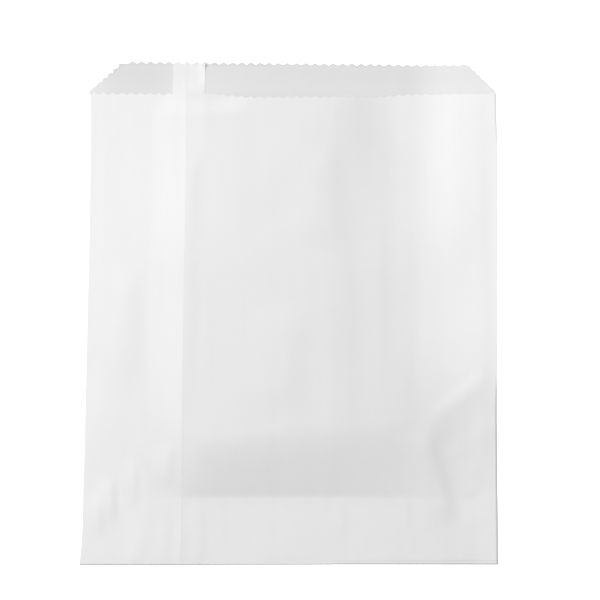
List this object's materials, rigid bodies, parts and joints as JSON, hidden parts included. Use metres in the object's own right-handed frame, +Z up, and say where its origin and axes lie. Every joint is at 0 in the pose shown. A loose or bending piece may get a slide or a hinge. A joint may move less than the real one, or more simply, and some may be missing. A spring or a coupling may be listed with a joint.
{
  "type": "greaseproof paper bag",
  "caption": "Flat white greaseproof paper bag with a serrated lip, a glued seam with a short tab, and a folded bottom, lying on its back with the mouth slightly open.",
  "frame": {"origin": "middle of the bag's footprint, on the surface that it lies on", "axes": "+X to the bag's right with the seam side up, +Y towards the mouth, +Z up"},
  "size_m": [0.165, 0.203, 0.0063],
  "materials": {
    "greaseproof_paper": "smooth white greaseproof paper, slightly sheer, with a faint calendered sheen"
  },
  "bodies": {
    "root": {"paper_bag": "greaseproof_paper"}
  },
  "joints": []
}
